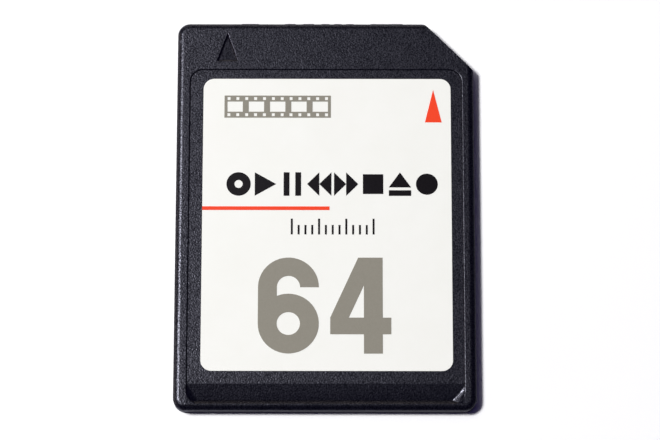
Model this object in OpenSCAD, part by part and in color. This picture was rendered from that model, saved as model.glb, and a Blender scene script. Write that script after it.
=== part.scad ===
// Multimedia card, full size, 24 x 32 x 1.4 mm.
// A moulded case carries a label in a recess on its front. A circuit board
// closes the back of the case: its outer face has seven contacts, and its
// inner face has the memory, the controller and the small chip parts.
// Z = 0 is the contact face, Z = card_t is the label face, and +Y is the
// leading edge, which goes into the slot first. The cut corner is at +X +Y.

/* [Card] */
// Width of the card
card_w = 24; // [22:0.1:28]
// Length of the card, with the trimmed gate on its leading edge
card_l = 32; // [29:0.1:38]
// Thickness of the card
card_t = 1.4; // [1.4:0.1:2.1]
// Radius of the three square corners
corner_r = 1; // [0.9:0.05:1.3]
// Length that the cut corner takes from each side
cut_leg = 4; // [3.2:0.1:5]
// Radius that blends the cut into the two sides
cut_blend_r = 0.45; // [0.3:0.05:0.8]
// Radius of the rounded edge round the label face
edge_r = 0.6; // [0.56:0.01:0.66]
// Width that this edge takes from the label face. The round stops short of upright
// where it is less than the radius, and leaves a blunt edge on the card's side.
edge_w = 0.54; // [0.53:0.01:0.55]
// Bevel round the contact face, and along both edges of the cut
bevel = 0.08; // [0.04:0.01:0.12]

/* [Trimmed gate] */
// Width of the gate's stub on the leading edge
gate_w = 13.3; // [8:0.1:14]
// Height of the stub
gate_h = 0.4; // [0.2:0.02:0.44]
// Height of the stub's foot above the contact face
gate_z = 0.52; // [0.4:0.02:0.6]
// Amount that the stub stands proud of the leading edge
gate_proud = 0.08; // [0.02:0.01:0.1]
// Shift of the stub away from the cut corner
gate_shift = 0.35; // [0:0.05:0.6]

/* [Label recess] */
// Depth of the recess
recess_d = 0.1; // [0.1:0.01:0.13]
// Land left and right of the recess
recess_side_land = 1; // [0.8:0.02:1.2]
// Land between the leading edge and the recess
recess_front_land = 3.92; // [3.7:0.02:4.2]
// Land between the recess and the trailing edge
recess_rear_land = 0.5; // [0.44:0.02:0.5]
// Corner radius at the mouth of the recess
recess_r = 1.05; // [0.8:0.05:1.4]
// Slope of the recess walls, away from upright
recess_draft = 25; // [15:1:35]
// Shift of the recess towards the side of the cut corner
recess_shift = 0.05; // [0:0.01:0.1]

/* [Nail grip] */
// Length of the sloping floor, up to the mouth of the recess
grip_l = 1.62; // [1.2:0.02:1.8]
// Depth of the floor at the trailing end
grip_d = 0.36; // [0.25:0.01:0.4]
// Slope of the wall at the trailing end, away from upright
grip_draft = 38; // [30:1:50]
// Width that the diagonal wall takes from each rear corner, along the trailing end
corner_w = 1.06; // [0.9:0.02:1.2]
// Distance between the start of the sloping floor and the diagonal wall
corner_gap = 0.05; // [0.05:0.01:0.2]
// Width that the facet above the diagonal wall leaves in the corner
facet_w = 0.55; // [0.4:0.05:0.7]
// Slope of this facet, away from level
facet_slope = 17; // [14:1:22]

/* [Insertion mark] */
// Width of the sunken triangle's base
mark_w = 1.78; // [1.2:0.02:2.2]
// Length from base to point
mark_l = 2.5; // [1.8:0.02:2.7]
// Depth of the triangle
mark_d = 0.13; // [0.08:0.01:0.2]
// Slope of its walls, away from upright
mark_draft = 32; // [15:1:45]
// Distance of its point from the leading edge
mark_front = 0.74; // [0.66:0.02:0.9]
// Distance of its centre line from the uncut side
mark_side = 4.05; // [3:0.05:6]

/* [Label] */
// Thickness of the label film
label_t = 0.07; // [0.05:0.01:0.08]
// Corner radius of the label
label_r = 0.87; // [0.6:0.01:1.2]
// Gap between the label and the recess on the uncut side
label_gap_left = 1.09; // [0.9:0.01:1.3]
// Gap on the side of the cut corner
label_gap_right = 0.92; // [0.5:0.01:1]
// Gap at the leading end
label_gap_front = 0.8; // [0.5:0.02:1]
// Gap between the label and the nail grip
label_gap_grip = 1; // [0.5:0.02:1.2]

/* [Label print] */
// Thickness of the print
print_t = 0.02; // [0.01:0.005:0.02]
// Length of the red stripe
stripe_l = 10.2; // [6:0.1:15]
// Width of the red stripe
stripe_w = 0.3; // [0.2:0.02:0.5]
// Gap between the stripe and the ticks below it
stripe_gap = 0.71; // [0.6:0.01:1.2]
// Width of the red arrow
arrow_w = 1.36; // [1:0.02:1.8]
// Length of the red arrow
arrow_l = 2.74; // [2:0.02:3.4]
// Distance of the arrow's centre line from the label's side
arrow_side = 1.42; // [1.2:0.02:2]
// Distance of the arrow's point from the label's leading edge
arrow_front = 0.92; // [0.6:0.02:1.4]
// Height of the figures
figure_h = 7.8; // [6:0.1:8.4]
// Width of one figure
figure_w = 4.85; // [4.2:0.05:5.2]
// Width of the figures' strokes
figure_stroke = 1.5; // [1:0.05:1.7]
// Gap between the two figures
figure_gap = 0.9; // [0.5:0.05:1.4]
// Shift of the figures towards the uncut side, from the label's centre line
figure_shift = 0.18; // [0:0.02:0.6]
// Distance of the figures from the label's trailing edge
figure_rear = 1.4; // [1:0.05:1.8]
// Height of the black media symbols
symbol_s = 1.95; // [1.5:0.05:2]
// Pitch of the media symbols
symbol_pitch = 2.16; // [2.1:0.02:2.2]
// Gap between the symbols and the stripe below them
symbol_gap = 0.88; // [0.6:0.02:1.2]
// Height of the long ticks of the small scale
tick_h = 1.3; // [0.8:0.05:1.5]
// Width of one tick
tick_w = 0.16; // [0.1:0.01:0.3]
// Pitch of the ticks
tick_pitch = 0.545; // [0.45:0.005:0.6]
// Gap between the ticks and the figures below them
tick_gap = 1.9; // [1:0.02:2.4]
// Shift of the symbols and ticks towards the cut corner, from the label's centre line
text_shift = 0.46; // [0:0.02:0.6]
// Length of the grey film strip
strip_l = 8.6; // [7:0.1:10]
// Width of the film strip
strip_w = 1.86; // [1.6:0.02:2.2]
// Distance of the film strip from the label's uncut side
strip_side = 1.7; // [1:0.05:2.5]
// Distance of the strip's middle from the label's leading edge
strip_front = 2.35; // [1.8:0.05:3]

/* [Case back] */
// Width of the rim that the case leaves round the board
rim_w = 0.8; // [0.7:0.02:0.9]
// Corner radius of the board's pocket
pocket_r = 0.5; // [0.3:0.05:0.8]
// Wall between the component bays and the long sides
side_wall = 2; // [1.6:0.1:2.2]
// Wall between the memory bay and the trailing edge
rear_wall = 2.7; // [2.5:0.05:3]
// Width of the rib between the two bays
rib_w = 0.7; // [0.4:0.05:1]
// Corner radius of the bays
bay_r = 0.6; // [0.3:0.05:1]
// Room between a bay's wall and the package in it
bay_clear = 0.6; // [0.4:0.05:0.8]
// Room above the tallest component
headroom = 0.05; // [0.02:0.01:0.08]

/* [Circuit board] */
// Thickness of the board
board_t = 0.25; // [0.2:0.01:0.3]
// Gap between the board and the wall of its pocket
board_clear = 0.05; // [0.03:0.01:0.1]
// Depth of the board's outer face below the rim
board_sunk = 0.05; // [0.03:0.01:0.08]
// Thickness of the bonding film between board and case
film_t = 0.03; // [0.02:0.01:0.05]

/* [Contacts] */
// Pitch of the contacts
contact_pitch = 2.5; // [2.3:0.05:2.6]
// Width of a contact
contact_w = 1.9; // [1.5:0.05:2.05]
// Length of a contact
contact_l = 4.1; // [3.5:0.1:4.5]
// Thickness of a contact
contact_t = 0.03; // [0.01:0.005:0.03]
// Corner radius of a contact
contact_r = 0.3; // [0.1:0.05:0.5]
// Least distance between the contacts and the board's leading edge
contact_front = 0.4; // [0.3:0.05:0.8]
// Least distance between the first contact's corner and the board's cut, along the card
contact_cut_gap = 0.32; // [0.2:0.02:0.32]
// Shift of the row away from the cut corner
contact_shift = 0.625; // [0.55:0.025:0.8]

/* [Memory package] */
// Length of the moulded body, between its rows of leads
memory_w = 15.4; // [14:0.1:16]
// Width of the moulded body
memory_l = 12; // [12:0.1:12.8]
// Height of the package on the board
memory_h = 0.7; // [0.6:0.01:0.75]
// Air gap under the moulded body
memory_standoff = 0.05; // [0.02:0.01:0.08]
// Slope of the moulded sides, away from upright
memory_draft = 10; // [5:1:15]
// Number of leads on each end
memory_leads_n = 24; // [12:1:24]
// Pitch of the leads
lead_pitch = 0.5; // [0.4:0.01:0.5]
// Width of a lead
lead_w = 0.2; // [0.15:0.01:0.25]
// Thickness of a lead
lead_t = 0.1; // [0.08:0.01:0.12]
// Reach of a lead past the moulded body
lead_reach = 0.8; // [0.7:0.05:1]
// Length of the flat shoulder beside the body
lead_shoulder = 0.12; // [0.05:0.01:0.18]
// Length of the flat foot on the board
lead_foot = 0.45; // [0.3:0.01:0.5]

/* [Controller] */
// Side of the square moulded body
controller_s = 7; // [6.8:0.1:7.4]
// Height of the body on the board
controller_h = 0.55; // [0.4:0.01:0.6]
// Number of terminals on each side
terminal_n = 12; // [6:1:12]
// Pitch of the terminals
terminal_pitch = 0.5; // [0.4:0.01:0.5]
// Width of a terminal
terminal_w = 0.24; // [0.18:0.01:0.3]
// Length of a terminal
terminal_l = 0.4; // [0.3:0.02:0.5]
// Thickness of a terminal
terminal_t = 0.15; // [0.1:0.01:0.2]
// Side of the square pad under the middle
pad_s = 4.8; // [4:0.1:5.2]

/* [Chip parts] */
// Length of a chip part
chip_l = 1; // [0.8:0.05:1.3]
// Width of a chip part
chip_w = 0.5; // [0.3:0.05:0.7]
// Height of a capacitor
capacitor_h = 0.5; // [0.3:0.05:0.6]
// Height of a resistor
resistor_h = 0.35; // [0.25:0.05:0.45]
// Length of the metal at each end of a chip part
chip_end = 0.25; // [0.15:0.01:0.3]
// Amount that the end metal stands proud of the body
chip_end_proud = 0.015; // [0.01:0.005:0.03]
// Gap between the controller and the nearer column of chip parts
chip_gap = 0.9; // [0.6:0.05:1.2]
// Distance between the two columns of chip parts
chip_column = 2.6; // [2.2:0.05:2.8]
// Distance between the two rows of chip parts
chip_row = 3.2; // [2:0.1:4]

/* [Hidden] */
$fn = 48;

// Amount by which a cutter runs past the face that it opens
over = 0.5;
// Tangent length of a blend at a corner of 135 degrees, for a radius of 1
blend_tangent = tan(22.5);

// Trailing edge and leading edge of the case. The gate stands proud of the second.
y_rear = -card_l / 2;
y_front = card_l / 2 - gate_proud;
body_l = y_front - y_rear;

// Mouth of the recess, and its floor
recess_w = card_w - 2 * recess_side_land;
recess_y0 = y_rear + recess_rear_land;
recess_y1 = y_front - recess_front_land;
recess_z = card_t - recess_d;
grip_y1 = recess_y0 + grip_l;
grip_z = card_t - grip_d;

// Label
label_x0 = recess_shift - recess_w / 2 + label_gap_left;
label_x1 = recess_shift + recess_w / 2 - label_gap_right;
label_y0 = grip_y1 + label_gap_grip;
label_y1 = recess_y1 - label_gap_front;
label_w = label_x1 - label_x0;
label_l = label_y1 - label_y0;
label_cx = (label_x0 + label_x1) / 2;
label_cy = (label_y0 + label_y1) / 2;
print_z = recess_z + label_t;

// Rows of print, stacked up from the label's trailing edge
figure_y = label_y0 + figure_rear;
tick_y = figure_y + figure_h + tick_gap;
stripe_y = tick_y + tick_h + stripe_gap;
symbol_y = stripe_y + stripe_w + symbol_gap;

// Levels of the board and the bays, counted up from the contact face
board_z1 = board_sunk + board_t;
ledge_z = board_z1 + film_t;
bay_z1 = board_z1 + max(memory_h, controller_h, capacitor_h, resistor_h) + headroom;

// Component bays
bay_w = card_w - 2 * side_wall;
memory_bay_y0 = y_rear + rear_wall;
memory_bay_l = memory_l + 2 * bay_clear;
controller_bay_y0 = memory_bay_y0 + memory_bay_l + rib_w;
controller_bay_l = controller_s + 2 * bay_clear;
memory_cy = memory_bay_y0 + memory_bay_l / 2;
controller_cy = controller_bay_y0 + controller_bay_l / 2;

// Board: inset from the card's outline, radius of its corners, and its cut edge,
// which is the line where x + y = board_cut
board_inset = rim_w + board_clear;
board_r = pocket_r - board_clear;
board_y1 = y_front - board_inset;
board_cut = card_w / 2 + y_front - cut_leg - board_inset * sqrt(2);

// Contacts, counted from the cut corner. They start as near to the leading edge
// as the board's edge and its cut allow.
contact_n = 7;
contact_x1 = contact_pitch * (contact_n - 1) / 2 - contact_shift;
contact_corner_x = contact_x1 + contact_w / 2;
contact_y1 = min(board_y1 - contact_front, board_cut - contact_corner_x - contact_cut_gap);

// Outline of the card, pushed in by inset all round
module card_outline(inset, square_r, blend_r) {
    a = card_w / 2 - inset;
    b0 = y_rear + inset;
    b1 = y_front - inset;
    leg = cut_leg - inset * (2 - sqrt(2));
    t = blend_r * blend_tangent;
    k = t / sqrt(2);
    polygon([
        [-a + square_r, b0], [a - square_r, b0], [a, b0 + square_r],
        [a, b1 - leg - t], [a - k, b1 - leg + k], [a - leg + k, b1 - k], [a - leg - t, b1],
        [-a + square_r, b1], [-a, b1 - square_r], [-a, b0 + square_r]
    ]);
    for (corner = [[-a, b0, 1, 1], [a, b0, -1, 1], [-a, b1, 1, -1]])
        translate([corner[0] + corner[2] * square_r, corner[1] + corner[3] * square_r])
            circle(square_r);
    for (centre = [[a - blend_r, b1 - leg - t], [a - leg - t, b1 - blend_r]])
        translate(centre)
            circle(blend_r);
}

// Flat rectangle with round corners, centred on the origin
module round_rect(w, l, r) {
    square([w - 2 * r, l], center = true);
    square([w, l - 2 * r], center = true);
    for (x = [-1, 1], y = [-1, 1])
        translate([x * (w / 2 - r), y * (l / 2 - r)])
            circle(r);
}

// Solid rectangle with round corners whose edge has the section given as child.
// The section's X runs outwards from the corner's centre, and its Y is up.
module edged_slab(w, l, r, z0, z1) {
    for (i = [0:3]) {
        across = i % 2 == 0 ? w : l;
        along = i % 2 == 0 ? l : w;
        rotate(90 * i)
            translate([across / 2 - r, along / 2 - r, 0]) {
                rotate([90, 0, 0])
                    linear_extrude(along - 2 * r)
                        children();
                rotate_extrude(angle = 90)
                    children();
            }
    }
    translate([r - w / 2, r - l / 2, z0])
        cube([w - 2 * r, l - 2 * r, z1 - z0]);
}

// Section of the case's edge, with its bevel below and its round edge above
module case_edge() {
    centre = [corner_r - edge_w, card_t - edge_r];
    side_z = centre[1] + sqrt(edge_r * edge_r - edge_w * edge_w);
    polygon([
        [0, 0], [corner_r - bevel, 0], [corner_r, bevel], [corner_r, side_z],
        [centre[0], card_t], [0, card_t]
    ]);
    intersection() {
        translate(centre)
            circle(edge_r);
        square([corner_r, card_t + over]);
    }
}

// Wedge that takes the sharp edge off one side of the cut, at the top of the card
module cut_bevel() {
    reach = bevel + over;
    translate([card_w / 2 - cut_leg / 2, y_front - cut_leg / 2, card_t])
        rotate(45)
            rotate([90, 0, 0])
                linear_extrude(cut_leg * 2, center = true)
                    polygon([[-reach, over], [over, -reach], [over, over]]);
}

// Outside of the case: a slab with its edge, cut off at one corner, and the gate's stub
module case_block() {
    difference() {
        intersection() {
            translate([0, (y_front + y_rear) / 2, 0])
                edged_slab(card_w, body_l, corner_r, 0, card_t)
                    case_edge();
            linear_extrude(card_t)
                card_outline(0, corner_r, cut_blend_r);
        }
        cut_bevel();
        translate([0, 0, card_t])
            mirror([0, 0, 1])
                cut_bevel();
    }
    translate([-gate_w / 2 - gate_shift, y_front - over, gate_z])
        cube([gate_w, over + gate_proud, gate_h]);
}

// All that lies above a sloping wall and a level floor at the given depth. The
// wall's top edge starts at from, on the label face, and runs in the direction
// turn. The wall falls to the left of it, by run for each millimetre of depth.
module above_wall(from, turn, run, depth) {
    translate([from[0], from[1], card_t])
        rotate(turn)
            rotate([90, 0, 90])
                linear_extrude(2 * card_l, center = true)
                    polygon([
                        [-over * run, over], [depth * run, -depth],
                        [card_l, -depth], [card_l, over]
                    ]);
}

// One rear corner of the nail grip: a steep diagonal wall rises from the floor,
// and a gentle facet goes on from it to the label face
module above_corner() {
    turn = atan2(grip_l - corner_gap, corner_w);
    above_wall([recess_w / 2 - corner_w, recess_y0], turn, tan(recess_draft), grip_d);
    above_wall([recess_w / 2 - facet_w, recess_y0], turn, 1 / tan(facet_slope), grip_d);
}

// Nail grip: its floor falls from the recess to the wall at the trailing end,
// and a diagonal wall closes each of the two corners
module nail_grip() {
    floor_run = grip_l / (grip_d - recess_d);
    intersection() {
        above_wall([0, grip_y1 + recess_d * floor_run], 180, floor_run, grip_d);
        above_wall([0, recess_y0], 0, tan(grip_draft), grip_d);
        above_corner();
        mirror([1, 0, 0])
            above_corner();
        translate([-card_w / 2, y_rear, 0])
            cube([card_w, grip_y1 - y_rear, card_t + over]);
    }
}

// Recess for the label. Its floor is level under the label, and its walls slope
// outwards all round. The nail grip goes on from it to the trailing end.
module label_recess() {
    run = tan(recess_draft);
    foot_r = recess_r - (card_t - grip_z) * run;
    translate([recess_shift, 0, 0])
        intersection() {
            translate([0, (recess_y0 + recess_y1) / 2, 0])
                edged_slab(recess_w, recess_y1 - recess_y0, recess_r, grip_z, card_t + over)
                    polygon([
                        [0, grip_z], [foot_r, grip_z],
                        [recess_r + over * run, card_t + over], [0, card_t + over]
                    ]);
            union() {
                nail_grip();
                translate([-card_w / 2, grip_y1, recess_z])
                    cube([card_w, card_l, card_t]);
            }
        }
}

// Sunken triangle that points to the leading edge, with sloping walls
module insertion_mark() {
    tip = [mark_side - card_w / 2, y_front - mark_front];
    base_y = tip[1] - mark_l;
    corners = [[tip[0] - mark_w / 2, base_y], [tip[0] + mark_w / 2, base_y], tip];
    intersection_for (i = [0:2]) {
        from = corners[i];
        to = corners[(i + 1) % 3];
        above_wall(from, atan2(to[1] - from[1], to[0] - from[0]), tan(mark_draft), mark_d);
    }
}

// Bays for the components, open to the board
module component_bays(z0, z1) {
    translate([0, memory_cy, z0])
        linear_extrude(z1 - z0)
            round_rect(bay_w, memory_bay_l, bay_r);
    translate([0, controller_cy, z0])
        linear_extrude(z1 - z0)
            round_rect(bay_w, controller_bay_l, bay_r);
}

module case() {
    color("#36363c")
        difference() {
            case_block();
            label_recess();
            insertion_mark();
            translate([0, 0, -over])
                linear_extrude(over + ledge_z)
                    card_outline(rim_w, pocket_r, pocket_r);
            component_bays(board_z1, bay_z1);
        }
}

module front_label() {
    color("#f2f2ec")
        translate([label_cx, label_cy, recess_z])
            linear_extrude(label_t)
                round_rect(label_w, label_l, label_r);
}

// Stripe from the label's side, and the arrow that shows which end goes in
module label_print_red() {
    arrow_x = label_x1 - arrow_side;
    arrow_y = label_y1 - arrow_front;
    color("#ee4038")
        translate([0, 0, print_z])
            linear_extrude(print_t) {
                translate([label_x0, stripe_y])
                    square([stripe_l, stripe_w]);
                polygon([
                    [arrow_x, arrow_y],
                    [arrow_x - arrow_w / 2, arrow_y - arrow_l],
                    [arrow_x + arrow_w / 2, arrow_y - arrow_l]
                ]);
            }
}

module ring(outer_r, inner_r) {
    difference() {
        circle(outer_r);
        circle(inner_r);
    }
}

// A plain six: a round bowl, a straight back and half a ring on top
module figure_six(h, w, stroke) {
    r = w / 2;
    translate([0, r])
        ring(r, r - stroke);
    translate([-r, r])
        square([stroke, h - 2 * r]);
    translate([0, h - r])
        difference() {
            ring(r, r - stroke);
            translate([-w, -w])
                square([2 * w, w]);
        }
}

// A plain four: one outline with a three-sided window
module figure_four(h, w, stroke) {
    // Strokes of the bar and the sloping side, a little thinner than the stem
    thin = stroke * 0.9;
    // Length of the bar past the stem, and width of the flat top
    past_stem = stroke * 0.45;
    top_w = stroke * 1.3;
    bar_y = h * 0.2;
    bar_top = bar_y + thin;
    stem_x1 = w / 2 - past_stem;
    stem_x0 = stem_x1 - stroke;
    top_x = stem_x1 - top_w;
    lean = atan2(h - bar_top, top_x + w / 2);
    window_x = thin / sin(lean) - w / 2;
    window_top = bar_top + (stem_x0 - window_x) * tan(lean);
    difference() {
        polygon([
            [-w / 2, bar_y], [stem_x0, bar_y], [stem_x0, 0], [stem_x1, 0], [stem_x1, bar_y],
            [w / 2, bar_y], [w / 2, bar_top], [stem_x1, bar_top], [stem_x1, h],
            [top_x, h], [-w / 2, bar_top]
        ]);
        polygon([[window_x, bar_top], [stem_x0, bar_top], [stem_x0, window_top]]);
    }
}

// Strip of film with five frames and two rows of perforations
module film_strip(l, w) {
    frames = 5;
    holes = 12;
    frame_w = l / frames * 0.72;
    frame_h = w * 0.46;
    hole = w * 0.13;
    hole_y = (frame_h + w) / 4;
    difference() {
        square([l, w], center = true);
        for (i = [0:frames - 1])
            translate([(i - (frames - 1) / 2) * l / frames, 0])
                square([frame_w, frame_h], center = true);
        for (i = [0:holes - 1], side = [-1, 1])
            translate([(i - (holes - 1) / 2) * l / holes, side * hole_y])
                square(hole, center = true);
    }
}

module label_print_grey() {
    figure_x = label_cx - figure_shift;
    apart = (figure_w + figure_gap) / 2;
    color("#928f82")
        translate([0, 0, print_z])
            linear_extrude(print_t) {
                translate([figure_x - apart, figure_y])
                    figure_six(figure_h, figure_w, figure_stroke);
                translate([figure_x + apart, figure_y])
                    figure_four(figure_h, figure_w, figure_stroke);
                translate([label_x0 + strip_side + strip_l / 2, label_y1 - strip_front])
                    film_strip(strip_l, strip_w);
            }
}

// Three-sided mark, w wide and s high, that points to +X
module pointer(w, s) {
    polygon([[-w / 2, -s / 2], [w / 2, 0], [-w / 2, s / 2]]);
}

// The eight media symbols, each in a square of side s
module media_symbol(i, s) {
    bar = s * 0.24;
    if (i == 0)
        ring(s / 2, s * 0.17);
    if (i == 1)
        pointer(s * 0.88, s);
    if (i == 2)
        for (side = [-1, 1])
            translate([side * s * 0.24, 0])
                square([bar, s], center = true);
    if (i == 3)
        for (side = [-1, 1])
            translate([side * s / 4, 0])
                rotate(180)
                    pointer(s / 2, s);
    if (i == 4)
        for (side = [-1, 1])
            translate([side * s / 4, 0])
                pointer(s / 2, s);
    if (i == 5)
        square(s * 0.84, center = true);
    if (i == 6) {
        translate([0, -s / 2 + bar / 2])
            square([s * 0.92, bar], center = true);
        translate([0, s * 0.18])
            rotate(90)
                pointer(s * 0.64, s * 0.92);
    }
    if (i == 7)
        circle(s * 0.45);
}

module label_print_black() {
    symbols = 8;
    ticks = 13;
    text_x = label_cx + text_shift;
    color("#1c191f")
        translate([0, 0, print_z])
            linear_extrude(print_t) {
                for (i = [0:symbols - 1])
                    translate([text_x + (i - (symbols - 1) / 2) * symbol_pitch, symbol_y + symbol_s / 2])
                        media_symbol(i, symbol_s);
                for (i = [0:ticks - 1]) {
                    tall = i % 4 == 0 ? tick_h : tick_h * 0.6;
                    x = text_x + (i - (ticks - 1) / 2) * tick_pitch;
                    translate([x - tick_w / 2, tick_y])
                        square([tick_w, tall]);
                }
            }
}

// Film between the board and the ledge, with a window for each bay
module bonding_film() {
    color("#b9a46a")
        difference() {
            translate([0, 0, board_z1])
                linear_extrude(film_t)
                    card_outline(board_inset, board_r, board_r);
            component_bays(board_z1 - over, ledge_z + over);
        }
}

module circuit_board() {
    color("#1d2622")
        translate([0, 0, board_sunk])
            linear_extrude(board_t)
                card_outline(board_inset, board_r, board_r);
}

// Contact number n, counted from the cut corner
module contact(n) {
    color("#d9b45a")
        translate([contact_x1 - (n - 1) * contact_pitch, contact_y1 - contact_l / 2, board_sunk])
            mirror([0, 0, 1])
                linear_extrude(contact_t)
                    round_rect(contact_w, contact_l, contact_r);
}

// Half section of the memory's body: the sides slope away from a flat band,
// where the leads come out
module memory_section(width) {
    z0 = memory_standoff;
    band_z0 = (memory_standoff + memory_h - lead_t) / 2;
    band_z1 = band_z0 + lead_t;
    low_x = width / 2 - (band_z0 - z0) * tan(memory_draft);
    high_x = width / 2 - (memory_h - band_z1) * tan(memory_draft);
    polygon([
        [-low_x, z0], [low_x, z0], [width / 2, band_z0], [width / 2, band_z1],
        [high_x, memory_h], [-high_x, memory_h], [-width / 2, band_z1], [-width / 2, band_z0]
    ]);
}

module memory_package() {
    color("#232326")
        translate([0, memory_cy, board_z1])
            intersection() {
                rotate([90, 0, 0])
                    linear_extrude(memory_l, center = true)
                        memory_section(memory_w);
                rotate([90, 0, 90])
                    linear_extrude(memory_w, center = true)
                        memory_section(memory_l);
            }
}

// One lead seen from its side: shoulder, slope and foot, all lead_t thick
module lead_section() {
    drop = (memory_standoff + memory_h - lead_t) / 2;
    slope_run = lead_reach - lead_shoulder - lead_foot;
    shift = lead_t * tan(atan2(drop, slope_run) / 2);
    polygon([
        [0, drop], [lead_shoulder, drop], [lead_shoulder + slope_run, 0], [lead_reach, 0],
        [lead_reach, lead_t], [lead_shoulder + slope_run + shift, lead_t],
        [lead_shoulder + shift, drop + lead_t], [0, drop + lead_t]
    ]);
}

module memory_leads() {
    color("#c9c9c4")
        translate([0, memory_cy, board_z1])
            for (turn = [0, 180], i = [0:memory_leads_n - 1])
                rotate(turn)
                    translate([memory_w / 2, (i - (memory_leads_n - 1) / 2) * lead_pitch, 0])
                        rotate([90, 0, 0])
                            linear_extrude(lead_w, center = true)
                                lead_section();
}

// Terminals round the foot of the controller, and the pad under its middle
module terminal_blocks() {
    for (side = [0:3], i = [0:terminal_n - 1])
        rotate(90 * side)
            translate([controller_s / 2 - terminal_l, (i - (terminal_n - 1) / 2) * terminal_pitch, 0])
                translate([0, -terminal_w / 2, 0])
                    cube([terminal_l, terminal_w, terminal_t]);
    translate([-pad_s / 2, -pad_s / 2, 0])
        cube([pad_s, pad_s, terminal_t]);
}

module controller_package() {
    color("#26262a")
        translate([0, controller_cy, board_z1])
            difference() {
                translate([-controller_s / 2, -controller_s / 2, 0])
                    cube([controller_s, controller_s, controller_h]);
                terminal_blocks();
            }
}

module controller_terminals() {
    color("#c9c9c4")
        translate([0, controller_cy, board_z1])
            terminal_blocks();
}

// Chip part of height h: a body between two metal ends, soldered at place n.
// Places 1 and 2 are left of the controller, and places 3 and 4 right of it.
module chip_part(n, column, h) {
    side = n <= 2 ? -1 : 1;
    row = n % 2 == 0 ? 1 : -1;
    x = side * (controller_s / 2 + chip_gap + chip_l / 2 + column * chip_column);
    translate([x, controller_cy + row * chip_row / 2, board_z1]) {
        translate([-chip_l / 2 + chip_end_proud, -chip_w / 2 + chip_end_proud, chip_end_proud])
            cube([chip_l - 2 * chip_end_proud, chip_w - 2 * chip_end_proud, h - 2 * chip_end_proud]);
        for (end_x = [-chip_l / 2, chip_l / 2 - chip_end])
            translate([end_x, -chip_w / 2, 0])
                cube([chip_end, chip_w, h]);
    }
}

module capacitor(n) {
    color("#b79a6c")
        chip_part(n, 0, capacitor_h);
}

module resistor(n) {
    color("#3a3d42")
        chip_part(n, 1, resistor_h);
}

case();
front_label();
label_print_red();
label_print_grey();
label_print_black();
bonding_film();
circuit_board();
contact(1);  // contact_1
contact(2);  // contact_2
contact(3);  // contact_3
contact(4);  // contact_4
contact(5);  // contact_5
contact(6);  // contact_6
contact(7);  // contact_7
memory_package();
memory_leads();
controller_package();
controller_terminals();
capacitor(1);  // capacitor_1
capacitor(2);  // capacitor_2
capacitor(3);  // capacitor_3
capacitor(4);  // capacitor_4
resistor(1);  // resistor_1
resistor(2);  // resistor_2
resistor(3);  // resistor_3
resistor(4);  // resistor_4
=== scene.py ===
import math
import bmesh
import bpy
from mathutils import Matrix, Vector


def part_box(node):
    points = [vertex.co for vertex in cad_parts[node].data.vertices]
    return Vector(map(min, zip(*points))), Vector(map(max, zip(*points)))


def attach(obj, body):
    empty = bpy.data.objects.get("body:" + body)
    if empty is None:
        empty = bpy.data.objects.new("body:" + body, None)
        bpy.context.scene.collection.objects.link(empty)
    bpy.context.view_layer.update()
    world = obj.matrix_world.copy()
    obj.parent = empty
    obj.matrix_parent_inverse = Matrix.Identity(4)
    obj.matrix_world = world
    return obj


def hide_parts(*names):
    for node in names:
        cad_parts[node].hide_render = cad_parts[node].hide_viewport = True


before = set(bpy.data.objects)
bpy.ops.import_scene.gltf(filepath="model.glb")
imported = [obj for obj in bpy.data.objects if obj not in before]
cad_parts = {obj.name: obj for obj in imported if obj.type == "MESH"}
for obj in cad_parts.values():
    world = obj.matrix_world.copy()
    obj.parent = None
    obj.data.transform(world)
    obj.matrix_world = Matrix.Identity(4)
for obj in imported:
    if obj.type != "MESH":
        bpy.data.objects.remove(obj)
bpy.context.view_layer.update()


# Camera. It looks down on the card from a little below its trailing edge,
# from about 230 mm away, through a long lens.
mm = 0.001
camera_tilt = math.radians(13.992)
camera_roll = math.radians(0.0708)
camera_distance = 228.67 * mm
camera_target = Vector((0.382, -0.495, 1.0)) * mm
lens_length = 155.56

bpy.ops.object.camera_add()
camera = bpy.context.active_object
camera.data.sensor_width = 36
camera.data.lens = lens_length
camera.data.clip_start = 10 * mm
turn = Matrix.Rotation(camera_tilt, 4, "X") @ Matrix.Rotation(camera_roll, 4, "Z")
step_back = Matrix.Translation((0, 0, camera_distance))
camera.matrix_world = Matrix.Translation(camera_target) @ turn @ step_back
bpy.context.scene.camera = camera


# Table and light. A white sheet lies under the card. One large soft lamp stands
# on the left, high up and a little towards the leading edge, and the room adds
# hardly any light of its own, so the shadow on the right stays dark.
def srgb(code):
    """Linear colour of a six-digit hex code."""
    parts = [int(code[start:start + 2], 16) / 255 for start in (0, 2, 4)]
    linear = [part / 12.92 if part <= 0.04045 else ((part + 0.055) / 1.055) ** 2.4 for part in parts]
    return (*linear, 1.0)


def set_inputs(node, inputs):
    """Gives inputs of a node a value each, or links them to another node's output."""
    for name, value in inputs.items():
        if isinstance(value, bpy.types.NodeSocket):
            node.id_data.links.new(value, node.inputs[name])
        else:
            node.inputs[name].default_value = value


def add_node(tree, kind, inputs=None, output=None, **settings):
    """Adds a node with its inputs and settings. Its first output in use comes back,
    or the one that is named."""
    node = tree.nodes.new(kind)
    for name, value in settings.items():
        setattr(node, name, value)
    set_inputs(node, inputs or {})
    if output:
        return node.outputs[output]
    return next(socket for socket in node.outputs if socket.enabled)


def new_material(name):
    """A new material, its node tree and the shader that it ends in."""
    material = bpy.data.materials.new(name)
    material.use_nodes = True
    tree = material.node_tree
    return material, tree, tree.nodes["Principled BSDF"]


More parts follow.
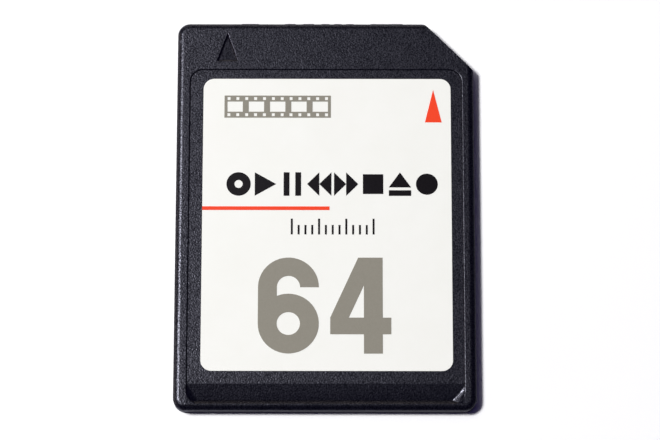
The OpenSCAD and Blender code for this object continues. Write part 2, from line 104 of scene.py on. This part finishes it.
def lamp_place(height, turn, distance):
    """A place at that distance from the card, so many degrees above the table and
    turned so many degrees from the left towards the leading edge."""
    height, turn = math.radians(height), math.radians(turn)
    reach = math.cos(height)
    return Vector((-math.cos(turn) * reach, math.sin(turn) * reach, math.sin(height))) * distance


def soft_lamp(place, toward, power, width):
    """A round area lamp at that place, which faces in that direction."""
    bpy.ops.object.light_add(type="AREA", location=place)
    lamp = bpy.context.active_object
    lamp.data.shape = "DISK"
    lamp.data.size = width
    lamp.data.energy = power
    lamp.rotation_euler = toward.to_track_quat("-Z", "Y").to_euler()
    return lamp


table_width = 1600 * mm
bpy.ops.mesh.primitive_plane_add(size=table_width)
table = bpy.context.active_object
table.name = "table"

# Uncoated white card stock, rolled matt, so it is evenly bright and mirrors no
# lamp. To the camera it is pure white, and to the card it is a little greyer.
paper, tree, shader = new_material("white_card_stock")
to_camera = add_node(tree, "ShaderNodeLightPath", output="Is Camera Ray")
white = add_node(tree, "ShaderNodeMix", {
    0: to_camera, 6: srgb("aaaab6"), 7: srgb("ffffff"),
}, data_type="RGBA")
set_inputs(shader, {"Base Color": white, "Roughness": 0.9})
table.data.materials.append(paper)

lamp_distance = 600 * mm
key_width = 120 * mm
key_power = 3.8
key_place = lamp_place(63, 12.5, lamp_distance)
soft_lamp(key_place, -key_place, key_power, key_width)

# A window beyond the card's leading edge adds a little light, and makes the foot
# of the shadow's edge soft.
window_width = 3 * key_width
window_power = 0.35
window_place = lamp_place(60, 50, lamp_distance)
soft_lamp(window_place, -window_place, window_power, window_width)

# Two low strips of warm white light stand on the table, at the left and beyond the
# leading edge, as wide as they are far away. They show in the card's round edges.
strip_distance = 400 * mm
strip_height = 90 * mm
for name, toward, power in (("left_strip", (-1, 0, 0), 0.26), ("rear_strip", (0, 1, 0), 0.21)):
    strip_place = Vector(toward) * strip_distance + Vector((0, 0, strip_height / 2))
    strip = soft_lamp(strip_place, -Vector(toward), power, strip_distance)
    strip.name = name
    strip.data.shape = "RECTANGLE"
    strip.data.size_y = strip_height
    strip.data.color = srgb("fff2e0")[:3]

# The room. To the camera it is nearly as white as the table, and to the card it
# is a dark blue.
world = bpy.data.worlds.new("studio")
world.use_nodes = True
bpy.context.scene.world = world
tree = world.node_tree
to_camera = add_node(tree, "ShaderNodeLightPath", output="Is Camera Ray")
room_light = add_node(tree, "ShaderNodeMix", {
    0: to_camera, 6: srgb("241f40"), 7: srgb("fdfdfd"),
}, data_type="RGBA")
set_inputs(tree.nodes["Background"], {"Color": room_light})
bpy.context.scene.view_settings.view_transform = "Standard"


# Case: one moulding in black plastic. The round edge of its label face stops a
# little short of upright. The pocket for the board, the label's recess with the
# nail grip and the sunken arrow are cut into it.
case_low, case_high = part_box("case")
face_z = case_high.z
side_x = case_high.x
rear_y = case_low.y
gate_proud = 0.08 * mm
front_y = case_high.y - gate_proud
cut_leg = 4.0 * mm

# Places nearer to each other than this count as the same. A shape that cuts the
# case reaches over its surface by half a millimetre.
nearby = 0.001 * mm
over = 0.5 * mm


def pick(kind, test):
    """In edit mode, selects the vertices, edges or faces that pass the test."""
    bpy.ops.mesh.select_mode(type=kind)
    bpy.ops.mesh.select_all(action="DESELECT")
    data = bpy.context.edit_object.data
    shape = bmesh.from_edit_mesh(data)
    for part in {"VERT": shape.verts, "EDGE": shape.edges, "FACE": shape.faces}[kind]:
        if test(part):
            part.select_set(True)
    bmesh.update_edit_mesh(data)


def level(part, height):
    """True for an edge or face that lies flat at that height."""
    return all(abs(point.co.z - height) < nearby for point in part.verts)


def upright(edge):
    """True for an edge that stands straight up."""
    run = edge.verts[0].co - edge.verts[1].co
    return run.xy.length < nearby < abs(run.z)


def block(name, low, high, radius=0, segments=8):
    """A block between two corners, with its upright edges rounded."""
    bpy.ops.object.select_all(action="DESELECT")
    bpy.ops.mesh.primitive_cube_add(size=1)
    piece = bpy.context.active_object
    piece.name = name
    low, high = Vector(low), Vector(high)
    piece.location = (low + high) / 2
    piece.scale = high - low
    bpy.ops.object.transform_apply(location=True, rotation=True, scale=True)
    if radius:
        bpy.ops.object.mode_set(mode="EDIT")
        pick("EDGE", upright)
        bpy.ops.mesh.bevel(offset=radius, segments=segments, affect="EDGES")
        bpy.ops.object.mode_set(mode="OBJECT")
    return piece


def card_outline(name, inset, corner_radius, blend_radius, bottom, top):
    """An upright block with the outline of the card, pushed in by inset. Its square
    corners and the two ends of its cut corner are rounded."""
    side, front, rear = side_x - inset, front_y - inset, rear_y + inset
    leg = cut_leg - inset * (2 - math.sqrt(2))
    piece = block(name, (-side, rear, bottom), (side, front, top))
    bpy.ops.object.mode_set(mode="EDIT")
    pick("EDGE", lambda edge: upright(edge) and min(edge.verts[0].co.xy) > 0)
    bpy.ops.mesh.bevel(offset=leg, segments=1, affect="EDGES")
    pick("EDGE", lambda edge: upright(edge) and sum(edge.verts[0].co.xy) > side)
    bpy.ops.mesh.bevel(offset=blend_radius * math.tan(math.pi / 8), segments=6, affect="EDGES")
    pick("EDGE", lambda edge: upright(edge) and any(
        (edge.verts[0].co.xy - Vector(corner)).length < nearby
        for corner in ((-side, rear), (side, rear), (-side, front))))
    bpy.ops.mesh.bevel(offset=corner_radius, segments=12, affect="EDGES")
    bpy.ops.object.mode_set(mode="OBJECT")
    return piece


def round_rim(height, offset, segments):
    """Rounds the edges of the active piece that lie at that height."""
    bpy.ops.object.mode_set(mode="EDIT")
    pick("EDGE", lambda edge: level(edge, height))
    bpy.ops.mesh.bevel(offset=offset, segments=segments, affect="EDGES")
    bpy.ops.object.mode_set(mode="OBJECT")


def carve(piece, point, outward):
    """Cuts the piece along a plane and takes away the side that outward points to."""
    bpy.context.view_layer.objects.active = piece
    bpy.ops.object.mode_set(mode="EDIT")
    bpy.ops.mesh.select_all(action="SELECT")
    bpy.ops.mesh.bisect(plane_co=point, plane_no=outward, use_fill=True, clear_outer=True)
    bpy.ops.object.mode_set(mode="OBJECT")


def combine(piece, tool, operation):
    """Joins a tool to the piece, cuts it away or keeps the part in common. The tool is used up."""
    bpy.ops.object.select_all(action="DESELECT")
    bpy.context.view_layer.objects.active = piece
    piece.select_set(True)
    bpy.ops.object.modifier_add(type="BOOLEAN")
    step = piece.modifiers[-1]
    step.solver = "EXACT"
    step.operation = operation
    step.object = tool
    bpy.ops.object.modifier_apply(modifier=step.name)
    bpy.data.objects.remove(tool)


# The round edge is drawn on a block a little larger than the card. The outline cuts
# it off before it is upright, which leaves a blunt line on the side.
corner_radius = 1.0 * mm
blend_radius = 0.45 * mm
edge_radius = 0.6 * mm
edge_cut_off = 0.08 * mm
back_edge_radius = 0.08 * mm
case = block(
    "case_moulding", (-side_x - edge_cut_off, rear_y - edge_cut_off, -over),
    (side_x + edge_cut_off, front_y + edge_cut_off, face_z),
    radius=corner_radius + edge_cut_off, segments=12,
)
round_rim(face_z, edge_radius, segments=14)
outline = card_outline("outline", 0, corner_radius, blend_radius, 0, face_z + over)
round_rim(0, back_edge_radius, segments=2)
combine(case, outline, "INTERSECT")

# The long upper edge of the cut corner is broken at 45 degrees.
cut_corner_break = 0.08 * mm
carve(
    case, (side_x - cut_leg / 2, front_y - cut_leg / 2, face_z - cut_corner_break),
    Vector((1, 1, math.sqrt(2))).normalized(),
)

# Stub of the mould's gate, which was broken off on the leading edge. It is cut
# across every quarter of a millimetre, seven lumps of it stand further out, and
# then all corners of its torn face are moved about a little.
gate_left, gate_right = -7.0 * mm, 6.3 * mm
gate_bottom, gate_top = 0.52 * mm, 0.97 * mm
gate_rough = 0.01 * mm
tear_step = 0.25 * mm
lumps = ((-6.9, -5.4), (-3.3, -2.4), (-1.8, -1.0), (-0.3, 0.3), (0.7, 1.3), (1.7, 2.4), (3.6, 6.4))
gate = block("gate", (gate_left, front_y - over, gate_bottom), (gate_right, front_y + gate_rough, gate_top))
bpy.ops.object.mode_set(mode="EDIT")
for step in range(-27, 25):
    bpy.ops.mesh.select_all(action="SELECT")
    bpy.ops.mesh.bisect(plane_co=(step * tear_step, 0, 0), plane_no=(1, 0, 0))
for start, end in lumps:
    pick("VERT", lambda point: point.co.y > front_y and start * mm < point.co.x < end * mm)
    bpy.ops.transform.translate(value=(0, gate_proud - 2 * gate_rough, 0))
pick("VERT", lambda point: point.co.y > front_y)
bpy.ops.transform.vertex_random(offset=gate_rough, uniform=0.0, normal=0.0, seed=4)
bpy.ops.object.mode_set(mode="OBJECT")
combine(case, gate, "UNION")

# A rounded mouth starts a little above the face and outside of the rounding, so
# that the cutting shape leaves no thin sliver there.
start_up = 0.002 * mm
start_out = 0.01 * mm


def round_mouth(radius, slope):
    """Steps for sink that round the mouth of a wall, and how far the rounding reaches
    outside of the mouth. The wall stands at that slope away from upright."""
    turn = math.radians(90 - slope)
    reach = radius * math.tan(turn / 2)
    points = [(-reach - start_out, start_up)]
    for quarter in (1, 2, 3, 4):
        bend = turn * quarter / 4
        points.append((radius * math.sin(bend) - reach, radius * (math.cos(bend) - 1)))
    steps = [(after[0] - before[0], before[1] - after[1]) for before, after in zip(points, points[1:])]
    return steps, reach + start_out


def sink(steps):
    """Draws the lowest face of the active piece down and in, step by step: (in, down)."""
    bpy.ops.object.mode_set(mode="EDIT")
    for run, drop in steps:
        shape = bmesh.from_edit_mesh(bpy.context.edit_object.data)
        lowest = min(point.co.z for point in shape.verts)
        pick("FACE", lambda face: level(face, lowest))
        bpy.ops.mesh.inset(thickness=run, depth=drop, use_even_offset=True)
    bpy.ops.object.mode_set(mode="OBJECT")


# Recess for the label. Its walls slope by 25 degrees, its mouth is rounded by a
# tenth of a millimetre, and its floor is level under the label. The walls are first
# drawn deeper than the nail grip, and the floors then cut them off.
recess_shift = 0.05 * mm
recess_side = 11.0 * mm
recess_rear = rear_y + 0.5 * mm
recess_front = front_y - 3.92 * mm
recess_floor = face_z - 0.1 * mm
recess_radius = 1.05 * mm
recess_mouth = 0.11 * mm
wall_slope = 25
wall_drop = 0.33 * mm
rounding, lip = round_mouth(recess_mouth, wall_slope)
recess = block(
    "recess", (recess_shift - recess_side - lip, recess_rear - lip, face_z + start_up),
    (recess_shift + recess_side + lip, recess_front + lip, face_z + over),
    radius=recess_radius + lip, segments=12,
)
sink(rounding + [(wall_drop * math.tan(math.radians(wall_slope)), wall_drop)])

# Nail grip: its floor falls by a quarter of a millimetre to the trailing end, where
# a sloping wall rises from it.
grip_floor = face_z - 0.36 * mm
grip_start = recess_rear + 1.62 * mm
grip_wall = math.radians(48)
floor = block("floor", (-side_x, rear_y, grip_floor), (side_x, front_y, face_z + 2 * over))
bpy.ops.object.mode_set(mode="EDIT")
for fold_y in (grip_start, recess_rear):
    bpy.ops.mesh.select_all(action="SELECT")
    bpy.ops.mesh.bisect(plane_co=(0, fold_y, 0), plane_no=(0, 1, 0))
pick("VERT", lambda point: point.co.z < face_z and point.co.y > grip_start - 10 * nearby)
bpy.ops.transform.translate(value=(0, 0, recess_floor - grip_floor))
bpy.ops.object.mode_set(mode="OBJECT")
carve(floor, (0, recess_rear, face_z), Vector((0, -1, -math.tan(grip_wall))).normalized())

# At each rear corner of the grip the floor meets a facet that rises to the side in
# three planes, each a little steeper than the last. Gentle is the normal of a slope
# of 11 degrees, and diagonal the line across the corner from which the facet rises.
# A plane is given by how far it lies up the slope from the last, and its added tilt.
facet_width = 1.3 * mm
facet_planes = ((0, 5), (0.12 * mm, 9), (0.15 * mm, 13))
for side in (-1, 1):
    gentle = Vector((-side * 0.196, 0, 0.981))
    diagonal = Vector((side * 1.0, 1.25, 0.2)).normalized()
    uphill = side * diagonal.cross(gentle)
    foot = Vector((recess_shift + side * (recess_side - facet_width), recess_rear, grip_floor))
    for climb, tilt in facet_planes:
        foot += uphill * climb
        rise = math.radians(tilt)
        corner = block("corner", (-side_x, rear_y, grip_floor - over), (side_x, grip_start, face_z + over))
        carve(corner, foot, gentle * math.cos(rise) - uphill * math.sin(rise))
        combine(floor, corner, "DIFFERENCE")
combine(recess, floor, "INTERSECT")
combine(case, recess, "DIFFERENCE")

# Sunken arrow near the leading edge: a triangle with sloping walls. It is drawn
# larger by the lip on all three sides, from which its mouth is rounded. A plain
# triangle of radius 1 is the square root of 3 wide and 1.5 long.
mark_width = 1.78 * mm
mark_length = 2.5 * mm
mark_x = 4.05 * mm - side_x
mark_rear = front_y - 0.74 * mm - mark_length
mark_mouth = 0.12 * mm
mark_slope = 50
mark_wall = (0.12 * mm, 0.1 * mm)
rounding, lip = round_mouth(mark_mouth, mark_slope)
flank = math.hypot(mark_width / 2, mark_length)
grown = 1 + (lip + lip * flank / (mark_width / 2)) / mark_length
bpy.ops.object.select_all(action="DESELECT")
bpy.ops.mesh.primitive_cylinder_add(vertices=3, radius=1, depth=1)
mark = bpy.context.active_object
mark.scale = (mark_width * grown / math.sqrt(3), mark_length * grown / 1.5, over)
mark.location = (mark_x, mark_rear - lip + mark_length * grown / 3, face_z + start_up + over / 2)
bpy.ops.object.transform_apply(location=True, rotation=True, scale=True)
sink(rounding + [mark_wall])
combine(case, mark, "DIFFERENCE")

# Pocket for the board in the back, with a bay over each group of components.
ledge_z = 0.33 * mm
pocket_inset = 0.8 * mm
pocket_radius = 0.5 * mm
pocket = card_outline("pocket", pocket_inset, pocket_radius, pocket_radius, -over, ledge_z)
combine(case, pocket, "DIFFERENCE")
bay_side = 10 * mm
bay_radius = 0.6 * mm
bay_bottom, bay_top = 0.3 * mm, 1.05 * mm
for bay_rear, bay_length in ((-13.3 * mm, 13.2 * mm), (0.6 * mm, 8.2 * mm)):
    bay_low = (-bay_side, bay_rear, bay_bottom)
    bay_high = (bay_side, bay_rear + bay_length, bay_top)
    combine(case, block("bay", bay_low, bay_high, radius=bay_radius), "DIFFERENCE")

# Points that the cuts left too near to each other are joined.
bpy.ops.object.mode_set(mode="EDIT")
bpy.ops.mesh.select_mode(type="VERT")
bpy.ops.mesh.select_all(action="SELECT")
bpy.ops.mesh.remove_doubles(threshold=nearby)
bpy.ops.mesh.dissolve_degenerate(threshold=nearby)

# The second narrow strip of the round leading edge, which leans forward by nearly
# ten degrees, keeps sharp sides.
pick("FACE", lambda face: 0.15 < face.normal.y < 0.17 and face.normal.z > 0.98)
bpy.ops.mesh.region_to_loop()
bpy.ops.mesh.mark_sharp()
bpy.ops.object.mode_set(mode="OBJECT")


def smooth(piece):
    """Smooth shading where faces meet at under 35 degrees. Flat faces keep their own normals."""
    bpy.ops.object.select_all(action="DESELECT")
    bpy.context.view_layer.objects.active = piece
    piece.select_set(True)
    bpy.ops.object.shade_smooth_by_angle(angle=math.radians(35))
    bpy.ops.object.modifier_add(type="WEIGHTED_NORMAL")
    piece.modifiers[-1].keep_sharp = True
    bpy.ops.object.modifier_apply(modifier=piece.modifiers[-1].name)


smooth(case)
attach(case, "root")
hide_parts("case")


def inside(tree, axes, low, high):
    """1 inside a rectangle seen from above, and 0 outside it. Low and high are its corners."""
    mask = 1.0
    for axis, start, end in (("X", low[0], high[0]), ("Y", low[1], high[1])):
        for limit, operation in ((start, "GREATER_THAN"), (end, "LESS_THAN")):
            within = add_node(tree, "ShaderNodeMath", {0: axes[axis], 1: limit}, operation=operation)
            mask = add_node(tree, "ShaderNodeMath", {0: mask, 1: within}, operation="MULTIPLY")
    return mask


# Black styrene blend from a spark-eroded mould. Its grain has about nine pits to
# the millimetre, which shine in single specks. The nail grip and the floor of the
# sunken arrow were left smoother, and show a more even sheen.
pits_per_mm, peaks_per_mm, clouds_per_mm = 9.5, 8.3, 0.7
grain_depth = 0.009 * mm
plastic, tree, shader = new_material("moulded_black_plastic")
place = add_node(tree, "ShaderNodeTexCoord", output="Object")
axes = add_node(tree, "ShaderNodeSeparateXYZ", {"Vector": place}).node.outputs
turned = add_node(tree, "ShaderNodeVectorRotate", {"Vector": place, "Axis": (1, 2, 3), "Angle": 0.9})
pits = add_node(tree, "ShaderNodeTexNoise", {"Vector": turned, "Scale": pits_per_mm / mm, "Detail": 0})
peaks = add_node(tree, "ShaderNodeTexNoise", {"Vector": place, "Scale": peaks_per_mm / mm, "Detail": 0})
grain = add_node(tree, "ShaderNodeMath", {0: pits, 1: peaks}, operation="ADD")
clouds = add_node(tree, "ShaderNodeTexNoise", {"Vector": place, "Scale": clouds_per_mm / mm, "Detail": 3})
tint = add_node(tree, "ShaderNodeMix", {0: pits, 6: srgb("000006"), 7: srgb("0c0c14")}, data_type="RGBA")

# Lighter spots: a painted highlight on the round long edge near the leading end, where the lamp shines,
# and two specks of wear by the grip. Each is given by its place and its radius in millimetres.
wear_and_painted_glint = 0.0
for wear_and_glint_x, wear_and_glint_y, wear_and_glint_radius in ((-11.8, 14.35, 0.09), (7.87, -14.75, 0.05), (-8.44, -15.25, 0.07)):
    away = add_node(tree, "ShaderNodeVectorMath", {
        0: place, 1: (wear_and_glint_x * mm, wear_and_glint_y * mm, face_z),
    }, operation="DISTANCE")
    spot = add_node(tree, "ShaderNodeMapRange", {
        "Value": away, "From Min": wear_and_glint_radius * 2 * mm, "From Max": wear_and_glint_radius * mm,
    })
    wear_and_painted_glint = add_node(tree, "ShaderNodeMath", {0: spot, 1: wear_and_painted_glint}, operation="MAXIMUM")
# The spots are tinted a lighter grey: painted highlight on the round edge, and wear by the grip.
tint = add_node(tree, "ShaderNodeMix", {0: wear_and_painted_glint, 6: tint, 7: srgb("505058")}, data_type="RGBA")

# Polish is 1 for the smoothest finish, in the arrow below its rounded mouth, and
# goes down to 0 for the full grain of the face. The grip lies between.
grip_polish = 0.7
polished_roughness = 0.205
polished_grain = 0.43
mark_half = mark_width / 2
mark_mouth_z = face_z - 0.02 * mm
in_grip = inside(tree, axes, (-recess_side, recess_rear), (recess_side, grip_start))
in_mark = inside(tree, axes, (mark_x - mark_half, mark_rear), (mark_x + mark_half, mark_rear + mark_length))
sunken = add_node(tree, "ShaderNodeMath", {0: axes["Z"], 1: mark_mouth_z}, operation="LESS_THAN")
in_mark = add_node(tree, "ShaderNodeMath", {0: in_mark, 1: sunken}, operation="MULTIPLY")
polish = add_node(tree, "ShaderNodeMath", {0: in_grip, 1: grip_polish, 2: in_mark}, operation="MULTIPLY_ADD")
sheen = add_node(tree, "ShaderNodeMapRange", {
    "Value": clouds, "From Min": 0.3, "From Max": 0.7, "To Min": 0.3, "To Max": 0.34,
})
rough = add_node(tree, "ShaderNodeMix", {0: polish, 2: sheen, 3: polished_roughness})
speckle = add_node(tree, "ShaderNodeMapRange", {
    "Value": pits, "From Min": 0.3, "From Max": 0.7, "To Min": 0.2, "To Max": 0.75,
})
strength = add_node(tree, "ShaderNodeMix", {0: polish, 2: 1.0, 3: polished_grain})
bump = add_node(tree, "ShaderNodeBump", {"Height": grain, "Strength": strength, "Distance": grain_depth})
set_inputs(shader, {
    "Base Color": tint, "Roughness": rough, "Specular IOR Level": speckle,
    "Specular Tint": srgb("ececff"), "Normal": bump,
})
case.data.materials.append(plastic)


# Circuit board: glass-epoxy laminate that closes the back of the case, bonded to
# its ledge. Its outer face has a dark green solder mask, under which the copper
# tracks show as low ridges from the contacts to a row of plated holes.
board_gap = 0.05 * mm
board_low, board_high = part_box("circuit_board")
board = card_outline(
    "board_laminate", pocket_inset + board_gap, pocket_radius - board_gap, pocket_radius - board_gap,
    board_low.z, board_high.z,
)
smooth(board)
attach(board, "root")
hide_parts("circuit_board")

pitch = 2.5 * mm
track_end = 7.6 * mm
track_half = 0.09 * mm
ring_radius = 0.3 * mm
hole_radius = 0.12 * mm
plane_start = 1.1 * mm
copper_height = 0.02 * mm
first_low, first_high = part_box("contact_1")
last_low, last_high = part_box("contact_7")
first_x = (first_low.x + first_high.x) / 2
middle_x = (first_x + (last_low.x + last_high.x) / 2) / 2
row_half = 3.5 * pitch

# Glass cloth in epoxy under solder mask: glossy, with the weave just to be seen.
# Across is the distance from the middle of a track, and along is the distance from
# its plated hole. Beside the row of contacts, across is made too large for a track.
weave_per_mm = 2.5
mask, tree, shader = new_material("solder_masked_laminate")
place = add_node(tree, "ShaderNodeTexCoord", output="Object")
axes = add_node(tree, "ShaderNodeSeparateXYZ", {"Vector": place}).node.outputs
across = add_node(tree, "ShaderNodeMath", {0: axes["X"], 1: first_x - pitch / 2}, operation="SUBTRACT")
across = add_node(tree, "ShaderNodeMath", {0: across, 1: pitch}, operation="FLOORED_MODULO")
across = add_node(tree, "ShaderNodeMath", {0: across, 1: pitch / 2}, operation="SUBTRACT")
beside = add_node(tree, "ShaderNodeMath", {0: axes["X"], 1: middle_x}, operation="SUBTRACT")
beside = add_node(tree, "ShaderNodeMath", {0: beside}, operation="ABSOLUTE")
beside = add_node(tree, "ShaderNodeMath", {0: beside, 1: row_half}, operation="GREATER_THAN")
across = add_node(tree, "ShaderNodeMath", {0: across, 1: beside}, operation="ADD")
along = add_node(tree, "ShaderNodeMath", {0: axes["Y"], 1: track_end}, operation="SUBTRACT")
aside = add_node(tree, "ShaderNodeMath", {0: across}, operation="ABSOLUTE")
narrow = add_node(tree, "ShaderNodeMath", {0: aside, 1: track_half}, operation="LESS_THAN")
ahead = add_node(tree, "ShaderNodeMath", {0: along, 1: 0.0}, operation="GREATER_THAN")
track = add_node(tree, "ShaderNodeMath", {0: narrow, 1: ahead}, operation="MULTIPLY")
from_hole = add_node(tree, "ShaderNodeCombineXYZ", {"X": across, "Y": along})
radius = add_node(tree, "ShaderNodeVectorMath", {0: from_hole}, operation="LENGTH")
ring = add_node(tree, "ShaderNodeMath", {0: radius, 1: ring_radius}, operation="LESS_THAN")
hole = add_node(tree, "ShaderNodeMath", {0: radius, 1: hole_radius}, operation="LESS_THAN")
plane = add_node(tree, "ShaderNodeMath", {0: along, 1: -plane_start}, operation="LESS_THAN")
copper = add_node(tree, "ShaderNodeMath", {0: track, 1: ring}, operation="MAXIMUM")
copper = add_node(tree, "ShaderNodeMath", {0: copper, 1: plane}, operation="MAXIMUM")
copper = add_node(tree, "ShaderNodeMath", {0: copper, 1: hole}, operation="SUBTRACT")
weave = add_node(tree, "ShaderNodeTexNoise", {"Vector": place, "Scale": weave_per_mm / mm, "Detail": 2})
ridge = add_node(tree, "ShaderNodeMath", {0: weave, 1: 0.15, 2: copper}, operation="MULTIPLY_ADD")
set_inputs(shader, {
    "Base Color": add_node(tree, "ShaderNodeMix", {
        0: copper, 6: srgb("14201b"), 7: srgb("1d3029"),
    }, data_type="RGBA"),
    "Roughness": 0.3,
    "Normal": add_node(tree, "ShaderNodeBump", {"Height": ridge, "Strength": 0.7, "Distance": copper_height}),
})
board.data.materials.append(mask)


# Contacts: seven flat pads of copper on the board, plated with nickel and hard
# gold. Each has round corners, and its edge is rounded by the plating.
contact_radius = 0.3 * mm
contact_edge = 0.01 * mm
pads = []
for number in range(1, 8):
    contact_low, contact_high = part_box(f"contact_{number}")
    pad = block(f"contact_pad_{number}", contact_low, contact_high, radius=contact_radius, segments=6)
    round_rim(contact_low.z, contact_edge, segments=2)
    smooth(pad)
    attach(pad, "root")
    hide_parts(f"contact_{number}")
    pads.append(pad)

# Hard gold, electroplated: a warm metal with fine lines along the contact, where
# the copper under it was brushed. They spread its shine across.
lines_per_mm, line_length = 9, 2 * mm
gold, tree, shader = new_material("hard_gold_plate")
place = add_node(tree, "ShaderNodeTexCoord", output="Object")
drawn = add_node(tree, "ShaderNodeVectorMath", {
    0: place, 1: (lines_per_mm / mm, 1 / line_length, lines_per_mm / mm),
}, operation="MULTIPLY")
lines = add_node(tree, "ShaderNodeTexNoise", {"Vector": drawn, "Scale": 1, "Detail": 3})
set_inputs(shader, {
    "Base Color": srgb("d9b25f"),
    "Metallic": 1.0,
    "Roughness": add_node(tree, "ShaderNodeMapRange", {"Value": lines, "To Min": 0.2, "To Max": 0.38}),
    "Normal": add_node(tree, "ShaderNodeBump", {"Height": lines, "Strength": 0.3, "Distance": 0.003 * mm}),
})
for pad in pads:
    pad.data.materials.append(gold)


# Memory and controller: silicon chips in black epoxy, soldered to the board's
# inner face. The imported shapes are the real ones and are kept.
def coat(material, *nodes):
    """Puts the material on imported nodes."""
    for node in nodes:
        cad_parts[node].data.materials.clear()
        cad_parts[node].data.materials.append(material)


# Epoxy, transfer-moulded in a matt-eroded mould: dark grey and dull, with a grain
# of twelve specks to the millimetre.
specks_per_mm = 12
epoxy, tree, shader = new_material("moulded_epoxy")
place = add_node(tree, "ShaderNodeTexCoord", output="Object")
specks = add_node(tree, "ShaderNodeTexNoise", {"Vector": place, "Scale": specks_per_mm / mm, "Detail": 2})
set_inputs(shader, {
    "Base Color": add_node(tree, "ShaderNodeMix", {
        0: specks, 6: srgb("1f1f22"), 7: srgb("2b2b2e"),
    }, data_type="RGBA"),
    "Roughness": 0.6,
    "Normal": add_node(tree, "ShaderNodeBump", {"Height": specks, "Strength": 0.5, "Distance": 0.005 * mm}),
})
coat(epoxy, "memory_package", "controller_package")


# Leads and terminals: stamped copper alloy with matt tin plate, soldered to the
# board. The plate is pale and frosted, with crystals of a twentieth of a millimetre.
tin_colour = srgb("c8c8c4")
crystal_width = 0.05 * mm
tin, tree, shader = new_material("matt_tin_plate")
place = add_node(tree, "ShaderNodeTexCoord", output="Object")
frost = add_node(tree, "ShaderNodeTexNoise", {"Vector": place, "Scale": 1 / crystal_width, "Detail": 2})
set_inputs(shader, {
    "Base Color": tin_colour,
    "Metallic": 1.0,
    "Roughness": add_node(tree, "ShaderNodeMapRange", {"Value": frost, "To Min": 0.35, "To Max": 0.5}),
})
coat(tin, "memory_leads", "controller_terminals")


# Chip parts: four capacitors and four resistors, soldered to the board in columns
# beside the controller. Each is a block of fired ceramic with tinned ends. The tin
# starts at a quarter of a millimetre from the middle of the part.
tin_start = 0.25 * mm
mottles_per_mm = 9
for kind, dark, pale in (("capacitor", "a98c5e", "bfa274"), ("resistor", "303338", "3e4147")):
    ceramic, tree, shader = new_material(f"{kind}_ceramic")
    place = add_node(tree, "ShaderNodeTexCoord", output="Object")
    axes = add_node(tree, "ShaderNodeSeparateXYZ", {"Vector": place}).node.outputs
    part_low, part_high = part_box(f"{kind}_4")
    part_x = (part_low.x + part_high.x) / 2
    away = add_node(tree, "ShaderNodeMath", {0: axes["X"]}, operation="ABSOLUTE")
    away = add_node(tree, "ShaderNodeMath", {0: away, 1: part_x}, operation="SUBTRACT")
    away = add_node(tree, "ShaderNodeMath", {0: away}, operation="ABSOLUTE")
    tinned = add_node(tree, "ShaderNodeMath", {0: away, 1: tin_start}, operation="GREATER_THAN")
    mottle = add_node(tree, "ShaderNodeTexNoise", {
        "Vector": place, "Scale": mottles_per_mm / mm, "Detail": 2,
    })
    clay = add_node(tree, "ShaderNodeMix", {0: mottle, 6: srgb(dark), 7: srgb(pale)}, data_type="RGBA")
    set_inputs(shader, {
        "Base Color": add_node(tree, "ShaderNodeMix", {0: tinned, 6: clay, 7: tin_colour}, data_type="RGBA"),
        "Metallic": tinned,
        "Roughness": 0.4,
    })
    coat(ceramic, *[f"{kind}_{number}" for number in range(1, 5)])


# Bonding film: amber acrylic adhesive on a thin carrier, die-cut as a frame. It
# holds the board to the ledge of the case, and has flowed a little unevenly.
flow_per_mm = 1.5
adhesive, tree, shader = new_material("acrylic_bonding_film")
place = add_node(tree, "ShaderNodeTexCoord", output="Object")
flow = add_node(tree, "ShaderNodeTexNoise", {"Vector": place, "Scale": flow_per_mm / mm, "Detail": 2})
set_inputs(shader, {
    "Base Color": add_node(tree, "ShaderNodeMix", {
        0: flow, 6: srgb("b19c62"), 7: srgb("c1ac72"),
    }, data_type="RGBA"),
    "Roughness": 0.45,
})
coat(adhesive, "bonding_film")


# Label: a white polyester film with round corners, die-cut and stuck into the
# recess. The print lies on it as thin layers of ink.
label_radius = 0.87 * mm
label_edge = 0.015 * mm
label_low, label_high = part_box("front_label")
label = block("label_film", label_low, label_high, radius=label_radius, segments=12)
round_rim(label_high.z, label_edge, segments=2)
smooth(label)
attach(label, "root")
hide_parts("front_label")

# White-filled polyester with a satin face: it is faintly cloudy, and its shine is
# too soft to mirror the lamp.
haze_per_mm = 0.4
film, tree, shader = new_material("white_polyester_film")
place = add_node(tree, "ShaderNodeTexCoord", output="Object")
haze = add_node(tree, "ShaderNodeTexNoise", {"Vector": place, "Scale": haze_per_mm / mm, "Detail": 3})
set_inputs(shader, {
    "Base Color": add_node(tree, "ShaderNodeMix", {
        0: haze, 6: srgb("ebebe3"), 7: srgb("f1f1eb"),
    }, data_type="RGBA"),
    "Roughness": add_node(tree, "ShaderNodeMapRange", {"Value": haze, "To Min": 0.55, "To Max": 0.65}),
})
label.data.materials.append(film)


# Inks: screen-printed layers of red, warm grey and black on the film. The threads
# of the screen, nine to the millimetre, leave them faintly uneven. Their varnish
# is smoother than the film, but mirrors little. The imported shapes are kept.
threads_per_mm = 9
for node, name, dark, pale in (
    ("label_print_red", "red_ink", "ee4325", "f44929"),
    ("label_print_grey", "warm_grey_ink", "888478", "908c80"),
    ("label_print_black", "black_ink", "090609", "0f0a0f"),
):
    ink, tree, shader = new_material(name)
    place = add_node(tree, "ShaderNodeTexCoord", output="Object")
    screen = add_node(tree, "ShaderNodeTexNoise", {
        "Vector": place, "Scale": threads_per_mm / mm, "Detail": 1,
    })
    set_inputs(shader, {
        "Base Color": add_node(tree, "ShaderNodeMix", {
            0: screen, 6: srgb(dark), 7: srgb(pale),
        }, data_type="RGBA"),
        "Roughness": add_node(tree, "ShaderNodeMapRange", {"Value": screen, "To Min": 0.22, "To Max": 0.28}),
        "Specular IOR Level": 0.25,
    })
    coat(ink, node)
